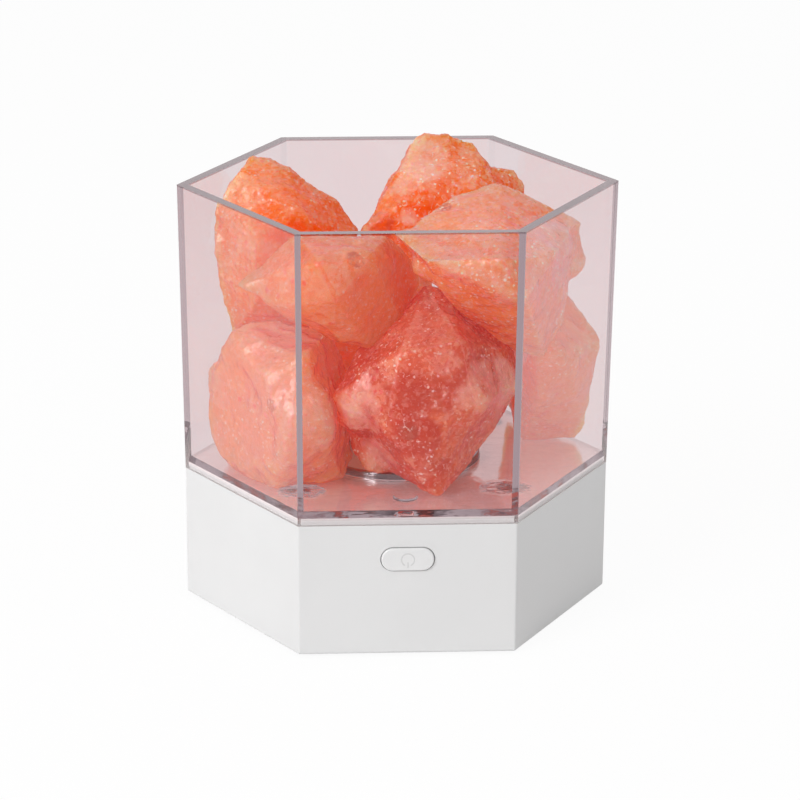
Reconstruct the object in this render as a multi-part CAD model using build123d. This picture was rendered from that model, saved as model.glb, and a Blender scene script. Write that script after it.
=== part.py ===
from build123d import *
import os
from math import cos, radians, sin, sqrt

# Salt crystal lamp: a hexagonal clear tub of rock salt on a white base with a push button.
# Millimetres, +Z up, origin on the hexagon's axis at the underside of the feet, button towards -Y.
# "Corner radius" is the distance from the axis to a corner of a hexagon.

# ---- overall ----
base_width = 105.0            # across the corners, where the base meets the tub
base_foot_width = 104.6       # across the corners at the bottom edge
base_height = 32.7
tub_height = 72.4
rim_width = 108.0             # across the corners at the tub's rim
foot_proud = 0.8              # how far the feet stand below the base

# ---- clearances ----
seat_gap = 0.1                # parts that drop into a seat
slide_gap = 0.2               # parts that slide past each other
thread_gap = 0.05             # screw shank in its pilot hole
salt_gap = 0.3                # salt against salt, wall and floor
pilot_spare = 0.5             # how far a pilot hole runs past its screw's tip

# ---- base housing ----
base_wall = 2.0
deck_thickness = 2.4          # under the mirror, where the step stands
step_height = 1.0
edge_radius = 0.8
bottom_edge_radius = 0.6
mirror_thickness = 0.6

# ---- clear tub ----
tub_wall = 2.5
tub_floor = 1.6
skirt_height = 1.7
skirt_wall = 1.3
tub_edge_radius = 0.4
gate_radius = 3.0             # moulding gate, a low round button on the floor
gate_height = 0.5
gate_chamfer = 0.3
gate_offset = 34.0

# ---- light ----
bezel_radius = 20.5
bezel_proud = 1.5             # above the tub floor
bezel_wall = 2.2
bezel_lip = 1.0
bezel_flange_width = 2.5
bezel_flange_thickness = 0.8
bezel_lip_height = 0.8
bezel_bevel_width = 1.9       # from the lip out to the flat top
bezel_edge_radius = 0.3
lens_edge = 1.6
lens_dome = 1.0
lens_seat_width = 1.8
cup_wall = 1.0
cup_bottom_radius = 11.0
cup_foot_width = 2.5
led_board_margin = 2.5        # from the circle of screws out to the board's edge
led_board_drop = 6.6          # from the underside of the deck
led_boss_pitch_radius = 20.5
led_boss_radius = 2.4
led_size = (3.5, 2.8, 0.7)
led_pitch_radius = 7.0
led_ring_count = 6
board_thickness = 1.6

# ---- screws: shank radius, head radius, head height ----
screw_cross_width = 0.22      # shares of the head's radius
screw_cross_reach = 0.6
screw_head_rounding = 0.4     # share of the head's height
small_screw = (1.1, 2.1, 1.4)
cover_screw = (1.4, 2.7, 1.6)
deck_screw = (1.4, 3.0, 1.6)
small_screw_length = 5.0
cover_screw_length = 9.0
deck_screw_length = 8.0
deck_screw_pitch = 51.0       # square pattern
deck_boss_radius = 3.2
deck_boss_length = 7.0
cover_boss_place = (36.0, 12.0)
cover_boss_radius = 3.4

# ---- bottom cover ----
cover_recess = 0.6
cover_thickness = 2.4
cover_rim_height = 3.0
cover_rim_thickness = 1.2
cover_rim_room = 2.0          # round the main board
foot_radius = 5.0
foot_seat_depth = 0.8
foot_chamfer = 0.4
foot_place = (22.0, 34.0)

# ---- main board ----
main_board_size = (44.0, 24.0)
main_board_edge_gap = 0.5     # behind the rear wall
standoff_height = 4.0
standoff_radius = 2.5
standoff_inset = 3.5
usb_size = (8.94, 7.35, 3.26)
usb_shell = 0.3
usb_back = 1.0                # thickness of the socket's closed end
usb_tongue = (6.6, 5.6, 0.7)
usb_port_recess = 0.9
usb_port_margin = 1.8
wire_socket_size = (6.0, 5.0, 3.5)
wire_socket_place = (12.0, 7.0)   # from the middle of the main board, as all places here
controller_size = (5.0, 4.0, 1.5)
controller_place = (2.0, -3.0)
coil_size = (4.0, 4.0, 2.0)
coil_place = (-6.0, 1.0)
capacitor_size = (2.5, 5.5)   # radius, height
capacitor_place = (9.0, 3.5)
resistor_size = (1.6, 0.8, 0.6)
resistor_place = (-4.0, -7.0)     # the first of the row
resistor_pitch = 2.6
resistor_count = 4

# ---- button ----
button_size = (12.7, 5.7)
button_height = 24.9          # centre above the ground
button_proud = 0.6
button_edge_radius = 0.4
button_flange = 1.2
button_flange_thickness = 1.0
button_stem_radius = 1.75
button_stem_length = 1.1
switch_size = (6.0, 3.5, 6.0)
plunger_radius = 1.5
plunger_proud = 1.4
plunger_depth = 0.6           # inside the switch at rest
plunger_bore_depth = 1.4
button_board_size = (28.0, 12.0)
button_post_pitch = 22.0
button_post_radius = 2.3

# ---- wires ----
wire_radius = 0.55
wire_pitch = 1.6
led_wire_run = 1.2            # length before the turn up, in shares of the rise
led_wire_bend = 0.45          # radius of that turn, in shares of the rise
button_wire_bend = 0.33       # first bend, second bend and their radius, in shares of the run
button_wire_drop = 3.0        # where they end, below the middle of the button's board
button_wire_inset = 0.5       # and how near to its middle, in shares of the socket's offset

# ---- derived heights and radii ----
flat = cos(radians(30))       # apothem of a hexagon per unit of corner radius
base_bottom = foot_proud
shoulder = base_bottom + base_height
step_top = shoulder + step_height
mirror_top = step_top + mirror_thickness
deck_under = step_top - deck_thickness
tub_floor_under = shoulder + skirt_height
tub_floor_top = tub_floor_under + tub_floor
rim = shoulder + tub_height
base_radius = base_width / 2
base_foot_radius = base_foot_width / 2
rim_radius = rim_width / 2
skirt_radius = base_radius - skirt_wall / flat
step_radius = skirt_radius - slide_gap / flat
cover_bottom = base_bottom + cover_recess
cover_top = cover_bottom + cover_thickness
standoff_top = cover_top + standoff_height
main_board_top = standoff_top + board_thickness
led_board_top = deck_under - led_board_drop
led_board_under = led_board_top - board_thickness
led_board_radius = led_boss_pitch_radius + led_board_margin


def hexagon(corner_radius, z):
    return Pos(0, 0, z) * RegularPolygon(corner_radius, 6)


def frustum(lower_radius, upper_radius, z_low, z_high):
    return loft([hexagon(lower_radius, z_low).face(), hexagon(upper_radius, z_high).face()])


def disc(radius, z_low, z_high, x=0, y=0):
    return Pos(x, y, z_low) * extrude(Circle(radius), z_high - z_low)


def block(size, x, y, z_low):
    return Pos(x, y, z_low) * Box(*size, align=(Align.CENTER, Align.CENTER, Align.MIN))


def corners_of(half_x, half_y):
    return [(sx * half_x, sy * half_y) for sx in (-1, 1) for sy in (-1, 1)]


def base_radius_at(z):
    return base_foot_radius + (base_radius - base_foot_radius) * (z - base_bottom) / base_height


def tub_radius_at(z):
    return base_radius + (rim_radius - base_radius) * (z - shoulder) / tub_height


def stadium_along_y(length, height, y_low, y_high, z):
    profile = Plane(origin=(0, y_low, z), x_dir=(1, 0, 0), z_dir=(0, 1, 0)) * SlotOverall(length, height)
    return extrude(profile, y_high - y_low)


def rod_along_y(radius, x, y_low, y_high, z):
    profile = Plane(origin=(x, y_low, z), x_dir=(1, 0, 0), z_dir=(0, 1, 0)) * Circle(radius)
    return extrude(profile, y_high - y_low)


def revolved(points):
    return revolve(Plane.XZ * make_face(Polyline(points, close=True)), Axis.Z)


def cross_recess(head_radius, depth):
    reach = 2 * head_radius * screw_cross_reach
    width = head_radius * screw_cross_width
    return Box(reach, width, depth) + Box(width, reach, depth)


def pan_screw(screw, length):
    """Shank along +Z from the origin, head below it, with a cross recess."""
    shank_radius, head_radius, head_height = screw
    body = disc(shank_radius, 0, length)
    head = disc(head_radius, -head_height, 0)
    head = fillet(head.edges().group_by(Axis.Z)[0], head_height * screw_head_rounding)
    return body + head - Pos(0, 0, -head_height) * cross_recess(head_radius, head_height)


def flat_screw(screw, length):
    """Countersunk: head flush with z = 0, shank pointing down."""
    shank_radius, head_radius, head_height = screw
    points = [(0, 0), (head_radius, 0), (shank_radius, -head_height), (shank_radius, -length), (0, -length)]
    return revolved(points) - cross_recess(head_radius, head_height)


# ---- where the front and rear walls are at the height of the button and the port ----
usb_z = main_board_top + usb_size[2] / 2
front_face = -base_radius_at(button_height) * flat
button_flange_foot = button_height - button_size[1] / 2 - button_flange
front_inside = base_wall - base_radius_at(button_flange_foot) * flat
rear_face = base_radius_at(usb_z) * flat
rear_inside = base_radius_at(base_bottom) * flat - base_wall
main_board_y = rear_inside - main_board_edge_gap - main_board_size[1] / 2
button_board_front = front_inside + button_flange_thickness + button_stem_length + plunger_proud + switch_size[1]
button_board_back = button_board_front + board_thickness
flange_back = front_inside + button_flange_thickness
stem_back = flange_back + button_stem_length
switch_front = stem_back + plunger_proud

# ---- the light's seats ----
flange_radius = bezel_radius + bezel_flange_width
flange_bottom = step_top - bezel_flange_thickness
bezel_bore = bezel_radius - bezel_wall
lens_radius = bezel_bore - seat_gap
light_hole = bezel_bore - lens_seat_width
cup_top_radius = light_hole - slide_gap
lens_edge_top = flange_bottom + lens_edge
bezel_top = tub_floor_top + bezel_proud
led_boss_angles = (90, 210, 330)
led_boss_places = [
    (led_boss_pitch_radius * cos(radians(a)), led_boss_pitch_radius * sin(radians(a))) for a in led_boss_angles
]
deck_screw_places = corners_of(deck_screw_pitch / 2, deck_screw_pitch / 2)
cover_screw_places = corners_of(*cover_boss_place)
standoff_places = [
    (x, main_board_y + y)
    for x, y in corners_of(main_board_size[0] / 2 - standoff_inset, main_board_size[1] / 2 - standoff_inset)
]
button_post_places = (-button_post_pitch / 2, button_post_pitch / 2)


def make_base_housing():
    body = frustum(base_foot_radius, base_radius, base_bottom, shoulder)
    body = fillet(body.edges().filter_by(lambda e: e.bounding_box().size.Z > base_height / 2), edge_radius)
    body = fillet(body.edges().group_by(Axis.Z)[0], bottom_edge_radius)
    body += frustum(step_radius, step_radius, shoulder, step_top)
    inner_low = base_foot_radius - base_wall / flat
    inner_high = base_radius - base_wall / flat
    body -= frustum(inner_low, inner_high, base_bottom, deck_under)
    for x, y in cover_screw_places:
        body += disc(cover_boss_radius, cover_top, deck_under, x, y)
    for x, y in deck_screw_places:
        body += disc(deck_boss_radius, deck_under - deck_boss_length, deck_under, x, y)
    for x, y in led_boss_places:
        body += disc(led_boss_radius, led_board_top, deck_under, x, y)
    for x in button_post_places:
        body += rod_along_y(button_post_radius, x, front_inside - base_wall / 2, button_board_front, button_height)
    body -= disc(light_hole, deck_under, step_top)
    body -= disc(flange_radius + seat_gap, flange_bottom, step_top)
    for x, y in cover_screw_places:
        depth = cover_screw_length - cover_thickness + cover_screw[2] + pilot_spare
        body -= disc(cover_screw[0] + thread_gap, cover_top, cover_top + depth, x, y)
    for x, y in led_boss_places:
        depth = small_screw_length - board_thickness + pilot_spare
        body -= disc(small_screw[0] + thread_gap, led_board_top, led_board_top + depth, x, y)
    for x in button_post_places:
        depth = small_screw_length - board_thickness + pilot_spare
        pilot = small_screw[0] + thread_gap
        body -= rod_along_y(pilot, x, button_board_front - depth, button_board_front, button_height)
    for x, y in deck_screw_places:
        body -= Pos(x, y, mirror_top) * deck_screw_room()
    slot_length = button_size[0] + 2 * slide_gap
    slot_height = button_size[1] + 2 * slide_gap
    body -= stadium_along_y(slot_length, slot_height, front_face - base_wall, front_inside, button_height)
    port = (usb_size[0] + 2 * slide_gap, usb_size[2] + 2 * slide_gap)
    body -= stadium_along_y(*port, rear_inside - base_wall, rear_face + base_wall, usb_z)
    recess = (port[0] + 2 * usb_port_margin, port[1] + 2 * usb_port_margin)
    body -= stadium_along_y(*recess, rear_face - usb_port_recess, rear_face + base_wall, usb_z)
    return body


def deck_screw_room():
    """Countersink and pilot hole round one deck screw, from the mirror's top down."""
    shank_radius, head_radius, head_height = deck_screw
    wide = head_radius + thread_gap
    pilot = shank_radius + thread_gap
    deep = deck_screw_length + pilot_spare
    return revolved([(0, 0), (wide, 0), (pilot, -head_height), (pilot, -deep), (0, -deep)])


def make_mirror_plate():
    plate = frustum(step_radius, step_radius, step_top, mirror_top)
    plate -= disc(bezel_radius + seat_gap, step_top, mirror_top)
    for x, y in deck_screw_places:
        plate -= Pos(x, y, mirror_top) * deck_screw_room()
    return plate


def make_deck_screws():
    return [Pos(x, y, mirror_top) * flat_screw(deck_screw, deck_screw_length) for x, y in deck_screw_places]


def make_bezel():
    lip_bore = bezel_bore - bezel_lip
    lip_top = lens_edge_top + seat_gap
    points = [
        (bezel_bore, flange_bottom), (flange_radius, flange_bottom), (flange_radius, step_top),
        (bezel_radius, step_top), (bezel_radius, bezel_top), (lip_bore + bezel_bevel_width, bezel_top),
        (lip_bore, lip_top + bezel_lip_height), (lip_bore, lip_top), (bezel_bore, lip_top),
    ]
    ring = revolved(points)
    return fillet(ring.edges().group_by(Axis.Z)[-1], bezel_edge_radius)


def make_lens():
    rim_top = lens_edge_top
    inner = bezel_bore - bezel_lip - slide_gap
    crown = rim_top + lens_dome
    sphere_radius = (inner**2 + lens_dome**2) / (2 * lens_dome)
    half_way = (inner / 2, crown - sphere_radius + sqrt(sphere_radius**2 - inner**2 / 4))
    outline = Polyline((inner, rim_top), (lens_radius, rim_top), (lens_radius, flange_bottom),
                       (0, flange_bottom), (0, crown))
    dome = ThreePointArc((0, crown), half_way, (inner, rim_top))
    return revolve(Plane.XZ * make_face(outline + dome), Axis.Z)


def make_reflector_cup():
    top = flange_bottom - slide_gap
    foot = cup_bottom_radius + cup_foot_width
    low = led_board_top
    points = [
        (cup_bottom_radius, low), (foot, low), (foot, low + cup_wall),
        (cup_bottom_radius + cup_wall, low + cup_wall), (cup_top_radius, top), (cup_top_radius - cup_wall, top),
    ]
    return revolved(points)


def make_led_board():
    board = disc(led_board_radius, led_board_under, led_board_top)
    for x, y in led_boss_places:
        board -= disc(small_screw[0] + slide_gap, led_board_under, led_board_top, x, y)
    return board


def make_led_chips():
    chips = [block(led_size, 0, 0, led_board_top)]
    for place in PolarLocations(led_pitch_radius, led_ring_count):
        chips.append(place * block(led_size, 0, 0, led_board_top))
    return chips


def make_led_board_screws():
    return [Pos(x, y, led_board_under) * pan_screw(small_screw, small_screw_length) for x, y in led_boss_places]


def make_bottom_cover():
    radius = base_foot_radius - base_wall / flat - slide_gap / flat
    cover = frustum(radius, radius, cover_bottom, cover_top)
    rim_outer = radius - cover_rim_thickness
    rim_band = frustum(rim_outer, rim_outer, cover_top, cover_top + cover_rim_height)
    rim_band -= frustum(rim_outer - cover_rim_thickness / flat, rim_outer - cover_rim_thickness / flat,
                        cover_top, cover_top + cover_rim_height)
    for x, y in cover_screw_places:
        rim_band -= disc(cover_boss_radius + slide_gap, cover_top, cover_top + cover_rim_height, x, y)
    room = (main_board_size[0] + 2 * cover_rim_room, main_board_size[1] + 2 * cover_rim_room, cover_rim_height)
    rim_band -= block(room, 0, main_board_y + cover_rim_room, cover_top)
    cover += rim_band
    for x, y in standoff_places:
        cover += disc(standoff_radius, cover_top, standoff_top, x, y)
        cover -= disc(small_screw[0] + thread_gap, cover_top, standoff_top, x, y)
    for x, y in corners_of(*foot_place):
        cover -= disc(foot_radius + seat_gap, cover_bottom, cover_bottom + foot_seat_depth, x, y)
    for x, y in cover_screw_places:
        cover -= disc(cover_screw[0] + slide_gap, cover_bottom, cover_top, x, y)
        cover -= disc(cover_screw[1] + slide_gap, cover_bottom, cover_bottom + cover_screw[2], x, y)
    return cover


def make_cover_screws():
    head_seat = cover_bottom + cover_screw[2]
    return [Pos(x, y, head_seat) * pan_screw(cover_screw, cover_screw_length) for x, y in cover_screw_places]


def make_rubber_feet():
    feet = []
    for x, y in corners_of(*foot_place):
        pad = disc(foot_radius, 0, cover_bottom + foot_seat_depth, x, y)
        feet.append(chamfer(pad.edges().group_by(Axis.Z)[0], foot_chamfer))
    return feet


def make_main_board():
    board = block((*main_board_size, board_thickness), 0, main_board_y, standoff_top)
    for x, y in standoff_places:
        board -= disc(small_screw[0] + slide_gap, standoff_top, main_board_top, x, y)
    return board


def make_main_board_screws():
    screw = Rot(180, 0, 0) * pan_screw(small_screw, small_screw_length)
    return [Pos(x, y, main_board_top) * screw for x, y in standoff_places]


def make_usb_socket():
    mouth = rear_face - usb_port_recess
    shell = stadium_along_y(usb_size[0], usb_size[2], mouth - usb_size[1], mouth, usb_z)
    bore = (usb_size[0] - 2 * usb_shell, usb_size[2] - 2 * usb_shell)
    return shell - stadium_along_y(*bore, mouth - usb_size[1] + usb_back, mouth, usb_z)


def make_usb_tongue():
    back = rear_face - usb_port_recess - usb_size[1] + usb_back
    length, depth, thickness = usb_tongue
    return Pos(0, back + depth / 2, usb_z) * Box(length, depth, thickness)


def on_main_board(part, place):
    return Pos(place[0], main_board_y + place[1], main_board_top) * part


def make_board_parts():
    parts = [
        on_main_board(block(controller_size, 0, 0, 0), controller_place),
        on_main_board(block(coil_size, 0, 0, 0), coil_place),
        on_main_board(disc(capacitor_size[0], 0, capacitor_size[1]), capacitor_place),
    ]
    x, y = resistor_place
    for i in range(resistor_count):
        parts.append(on_main_board(block(resistor_size, 0, 0, 0), (x + i * resistor_pitch, y)))
    return parts


def wire_sockets():
    x, y = wire_socket_place
    return [(side * x, main_board_y - y) for side in (-1, 1)]


def make_wire_sockets():
    return [block(wire_socket_size, x, y, main_board_top) for x, y in wire_sockets()]


def wire(points, radii):
    path = FilletPolyline(*points, radius=radii)
    start = Plane(origin=path @ 0, z_dir=path % 0)
    return sweep(start * Circle(wire_radius), path=path)


def wire_start(side):
    x, y = wire_sockets()[side]
    return x, y - wire_socket_size[1] / 2, main_board_top + wire_socket_size[2] / 2


def make_led_wires():
    """Two wires from the left socket, turning up to the underside of the light board."""
    x, y, z = wire_start(0)
    rise = led_board_under - z
    end_y = y - led_wire_run * rise
    wires = []
    for shift in (-wire_pitch / 2, wire_pitch / 2):
        points = [(x + shift, y, z), (x + shift, end_y, z), (x + shift, end_y, led_board_under)]
        wires.append(wire(points, led_wire_bend * rise))
    return wires


def make_button_wires():
    """Two wires from the right socket, rising gently to the back of the button's board."""
    x, y, z = wire_start(1)
    end_x = x * button_wire_inset
    end_z = button_height - button_wire_drop
    bend = (y - button_board_back) * button_wire_bend
    wires = []
    for shift in (-wire_pitch / 2, wire_pitch / 2):
        points = [
            (x + shift, y, z),
            (x + shift, y - bend, z),
            (end_x + shift, button_board_back + bend, end_z),
            (end_x + shift, button_board_back, end_z),
        ]
        wires.append(wire(points, bend))
    return wires


def make_button():
    cap_front = front_face - button_proud
    cap = stadium_along_y(*button_size, cap_front, front_inside, button_height)
    cap = fillet(cap.edges().group_by(Axis.Y)[0], button_edge_radius)
    wide = (button_size[0] + 2 * button_flange, button_size[1] + 2 * button_flange)
    cap += stadium_along_y(*wide, front_inside, flange_back, button_height)
    return cap + rod_along_y(button_stem_radius, 0, flange_back, stem_back, button_height)


def make_plunger():
    return rod_along_y(plunger_radius, 0, stem_back, switch_front + plunger_depth, button_height)


def make_switch():
    width, depth, height = switch_size
    body = Pos(0, switch_front + depth / 2, button_height) * Box(width, depth, height)
    bore = plunger_radius + slide_gap
    return body - rod_along_y(bore, 0, switch_front, switch_front + plunger_bore_depth, button_height)


def make_button_board():
    width, height = button_board_size
    middle = (button_board_front + button_board_back) / 2
    board = Pos(0, middle, button_height) * Box(width, board_thickness, height)
    for x in button_post_places:
        hole = small_screw[0] + slide_gap
        board -= rod_along_y(hole, x, button_board_front, button_board_back, button_height)
    return board


def make_button_board_screws():
    screw = Rot(90, 0, 0) * pan_screw(small_screw, small_screw_length)
    return [Pos(x, button_board_back, button_height) * screw for x in button_post_places]


def make_tub():
    inset = tub_wall / flat
    body = frustum(base_radius, rim_radius, shoulder, rim)
    body = fillet(body.edges().filter_by(lambda e: e.bounding_box().size.Z > tub_height / 2), tub_edge_radius)
    body -= frustum(tub_radius_at(tub_floor_top) - inset, rim_radius - inset, tub_floor_top, rim)
    body -= frustum(skirt_radius, skirt_radius, shoulder, tub_floor_under)
    body -= disc(bezel_radius + slide_gap, tub_floor_under, tub_floor_top)
    gate = disc(gate_radius, tub_floor_top, tub_floor_top + gate_height, 0, -gate_offset)
    return body + chamfer(gate.edges().group_by(Axis.Z)[-1], gate_chamfer)


# ---- salt ----
# place: the chunk's middle, x and y from the axis and z above the tub floor. size: width, depth, height.
# corners: the chunk's corners, in percent of half its size, each a tip between the broken faces.
salt_chunks = {
    "salt_front_left": dict(place=(-29, -14, 18), size=(34, 48, 38), corners=[
        (-70, 10, 95), (-100, 35, 30), (-90, 15, -60), (-60, -5, -90), (-10, -60, -90),
        (85, -30, -90), (100, 0, -65), (85, -10, 65), (65, -10, 100), (-25, 25, 100),
        (-30, -70, 50), (30, -70, 90), (10, -100, -25), (55, -80, -20), (-40, 85, 40),
        (70, 90, 35), (75, 100, -100), (-60, 85, -85),
    ]),
    "salt_front_middle": dict(place=(6, -17, 24), size=(45, 46, 46), corners=[
        (-100, -30, 10), (-75, -15, 40), (0, 15, 100), (25, 20, 90), (95, 5, 30), (100, -5, -5),
        (75, -20, -45), (10, -70, -105), (0, -75, -100), (-40, -30, -90), (-80, -5, -65),
        (-35, -85, 55), (30, -85, 70), (-45, -95, -25), (0, -100, -35), (40, -90, 5),
        (-50, 90, 10), (65, 100, 25), (90, 95, -55), (20, 85, -95),
    ]),
    "salt_right": dict(place=(38, 11, 19), size=(21, 50, 38), corners=[
        (-5, -5, 95), (25, 5, 100), (70, -20, 70), (100, -45, 50), (85, -40, -5), (80, -15, -80),
        (55, -10, -95), (-65, -5, -100), (-90, -30, -15), (-25, -100, 60), (15, -90, 35),
        (-50, -75, -10), (-65, -100, 60), (-95, 70, 35), (5, 45, 40), (10, 45, -60),
        (-75, 100, -85),
    ]),
    "salt_top_right": dict(place=(22, -18, 49), size=(46, 45, 40), corners=[
        (-100, -25, 65), (-40, 45, 95), (10, 70, 100), (65, 60, 75), (90, 55, 55), (100, 60, 15),
        (50, 10, -100), (-60, -45, 5), (-80, -80, 55), (0, -100, 60), (20, -100, 10),
        (50, -55, 50), (-40, 80, 30), (15, 100, 40), (80, 95, 10), (60, 75, -60), (0, 20, -90),
    ]),
    "salt_top_left": dict(place=(-27, 8, 52), size=(34, 39, 44), corners=[
        (-95, -30, 60), (-65, -20, 90), (-50, 0, 100), (0, 0, 90), (70, -10, 50), (100, -30, 20),
        (-100, -40, 10), (-75, -40, -95), (-40, -95, 35), (15, -80, 55), (-40, -85, -45),
        (80, -65, 10), (60, -60, -70), (-35, 80, 55), (40, 105, 25), (90, 80, -15), (-50, 40, -60),
        (65, 60, -100),
    ]),
    "salt_top_back": dict(place=(10, 20, 57), size=(35, 36, 37), corners=[
        (-70, -20, 35), (-25, 10, 100), (20, 10, 100), (55, 10, 90), (80, 0, 60), (-100, -95, -5),
        (-95, -100, -30), (-35, -100, -65), (5, -55, 50), (-55, -80, 25), (0, 100, 60),
        (60, 100, 45), (-40, 100, -10), (-50, 80, -95), (75, 80, -100), (90, -55, -40),
        (100, -45, 25),
    ]),
    "salt_middle_left": dict(place=(-16, -24, 48), size=(41, 29, 29), corners=[
        (-100, 15, 20), (-45, 20, 95), (10, 15, 95), (60, 35, 75), (90, 75, 35), (100, 85, -5),
        (75, 30, -50), (40, 0, -95), (15, 0, -100), (-5, -40, -55), (-45, -70, 5), (-75, -30, -5),
        (-25, -85, 80), (35, -55, 60), (-5, -95, 20), (-50, 70, 60), (50, 105, 25), (60, 105, -70),
        (-55, 70, -30),
    ]),
    "salt_rear_left": dict(place=(-14, 25, 21), size=(49, 34, 40), corners=[
        (-90, -95, -90), (-100, -70, -5), (-80, -100, 50), (10, -95, -100), (90, -70, -90),
        (100, -30, 35), (95, -5, 100), (95, 90, -80), (80, 95, 65), (-25, 100, -90), (-40, 90, 30),
        (-35, -30, 65), (15, 55, 95), (45, -80, 75),
    ]),
}
back_shoulder = dict(place=(26, 24, 54), size=(15, 28, 31), corners=[
    (-95, -30, 100), (-30, -30, 90), (60, 0, 75), (95, 0, 50), (100, 0, 25), (-100, -85, 0),
    (0, -100, -30), (-40, 70, -100), (80, 85, 25), (-40, 100, 40),
])
lower_chunks = ("salt_front_left", "salt_front_middle", "salt_right", "salt_rear_left")
upper_chunks = ("salt_middle_left", "salt_top_right", "salt_top_left", "salt_top_back")


def rough_chunk(place, size, corners, grow=0.0):
    """One broken lump, its faces spanned between its corners, grown outwards by a gap."""
    middle = Vector(place[0], place[1], tub_floor_top + place[2])
    points = []
    for corner in corners:
        reach = [share / 100 * (length / 2 + grow) for share, length in zip(corner, size)]
        points.append(middle + Vector(*reach))
    return ConvexPolyhedron(points)


def tub_room():
    """The space that salt may fill: inside the walls, over the floor, round the bezel and the gate."""
    inset = (tub_wall + salt_gap) / flat
    top = rim + tub_height    # open above, on the same slope
    room = frustum(tub_radius_at(tub_floor_top) - inset, tub_radius_at(top) - inset, tub_floor_top + salt_gap, top)
    room -= disc(bezel_radius + salt_gap, tub_floor_top, bezel_top + salt_gap)
    return room - disc(gate_radius + salt_gap, tub_floor_top, tub_floor_top + gate_height + salt_gap, 0, -gate_offset)


def make_salt():
    room = tub_room()
    chunks = {}
    for name in lower_chunks + upper_chunks:
        chunk = rough_chunk(**salt_chunks[name])
        if name == "salt_top_back":
            chunk += rough_chunk(**back_shoulder)
        chunk &= room
        for below in lower_chunks:
            if below in chunks:
                chunk -= rough_chunk(**salt_chunks[below], grow=salt_gap)
        chunks[name] = chunk
    return chunks


nodes = {
    "base_housing": make_base_housing(),
    "bottom_cover": make_bottom_cover(),
    "cover_screws": make_cover_screws(),
    "rubber_feet": make_rubber_feet(),
    "mirror_plate": make_mirror_plate(),
    "deck_screws": make_deck_screws(),
    "light_bezel": make_bezel(),
    "light_lens": make_lens(),
    "reflector_cup": make_reflector_cup(),
    "led_board": make_led_board(),
    "led_chips": make_led_chips(),
    "led_board_screws": make_led_board_screws(),
    "main_board": make_main_board(),
    "main_board_screws": make_main_board_screws(),
    "main_board_parts": make_board_parts(),
    "wire_sockets": make_wire_sockets(),
    "usb_socket": make_usb_socket(),
    "usb_tongue": make_usb_tongue(),
    "led_wires": make_led_wires(),
    "button_wires": make_button_wires(),
    "power_button": make_button(),
    "switch_plunger": make_plunger(),
    "switch_body": make_switch(),
    "button_board": make_button_board(),
    "button_board_screws": make_button_board_screws(),
    "clear_tub": make_tub(),
}
nodes.update(make_salt())

os.makedirs("parts", exist_ok=True)
for node, shape in nodes.items():
    solids = shape if isinstance(shape, list) else [shape]
    group = Compound(children=[solid for piece in solids for solid in piece.solids()])
    export_step(group, f"parts/{node}.step")
    print(node, len(group.solids()), round(group.volume, 1))
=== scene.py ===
import bpy
import random
from math import cos, radians, sin
from mathutils import Matrix, Vector


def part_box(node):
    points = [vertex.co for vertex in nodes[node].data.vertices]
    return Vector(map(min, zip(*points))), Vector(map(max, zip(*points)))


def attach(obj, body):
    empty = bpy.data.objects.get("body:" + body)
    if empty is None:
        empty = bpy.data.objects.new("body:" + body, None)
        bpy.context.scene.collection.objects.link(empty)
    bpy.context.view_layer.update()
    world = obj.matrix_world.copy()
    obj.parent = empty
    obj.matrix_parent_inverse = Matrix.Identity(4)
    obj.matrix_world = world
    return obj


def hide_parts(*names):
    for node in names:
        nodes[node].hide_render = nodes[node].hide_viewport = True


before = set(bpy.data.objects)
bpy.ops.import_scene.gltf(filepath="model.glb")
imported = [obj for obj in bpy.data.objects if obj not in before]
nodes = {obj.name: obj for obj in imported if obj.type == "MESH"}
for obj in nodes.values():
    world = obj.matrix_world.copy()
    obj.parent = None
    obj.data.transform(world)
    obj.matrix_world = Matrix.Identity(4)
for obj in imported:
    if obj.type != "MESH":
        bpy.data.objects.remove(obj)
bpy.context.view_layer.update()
mm = 0.001
print("frame loaded")

# the camera stands where the photograph was taken from
cameraValues = {
    "target": (0.0, 0.0, 60.8 * mm),
    "distance": 1.00017,
    "azimuth": -3.556,
    "elevation": 17.107,
    "roll": 0.37,
    "lens": 182.25,
    "shift": (0.00345, -0.05058),
    "nearest": 0.05,
}


def makeCamera(values):
    azimuth = radians(values["azimuth"])
    elevation = radians(values["elevation"])
    roll = radians(values["roll"])
    level = cos(elevation)
    back = Vector((sin(azimuth) * level, -cos(azimuth) * level, sin(elevation)))
    right = Vector((cos(azimuth), sin(azimuth), 0))
    up = back.cross(right)
    across = right * cos(roll) + up * sin(roll)
    upright = up * cos(roll) - right * sin(roll)
    camera = bpy.data.objects.new("camera", bpy.data.cameras.new("camera"))
    bpy.context.scene.collection.objects.link(camera)
    camera.data.lens = values["lens"]
    camera.data.shift_x, camera.data.shift_y = values["shift"]
    camera.data.clip_start = values["nearest"]
    turned = Matrix((across, upright, back)).transposed().to_4x4()
    turned.translation = Vector(values["target"]) + back * values["distance"]
    camera.matrix_world = turned
    bpy.context.scene.camera = camera


makeCamera(cameraValues)

# helpers that put nodes down and join them
white = (1, 1, 1, 1)
# noises and the random values of cells run from 0 to 1, and this is their middle
noiseMiddle = 0.5


def opaque(colour):
    return (*colour, 1)


def put(tree, kind, values=None, **settings):
    node = tree.nodes.new("ShaderNode" + kind)
    for key, value in settings.items():
        setattr(node, key, value)
    fill(tree, node, values or {})
    return node


def fill(tree, node, values):
    for key, value in values.items():
        socket = node.inputs[key]
        if isinstance(value, bpy.types.NodeSocket):
            tree.links.new(value, socket)
        else:
            socket.default_value = value


def join(tree, source, target):
    tree.links.new(source, target)


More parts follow.
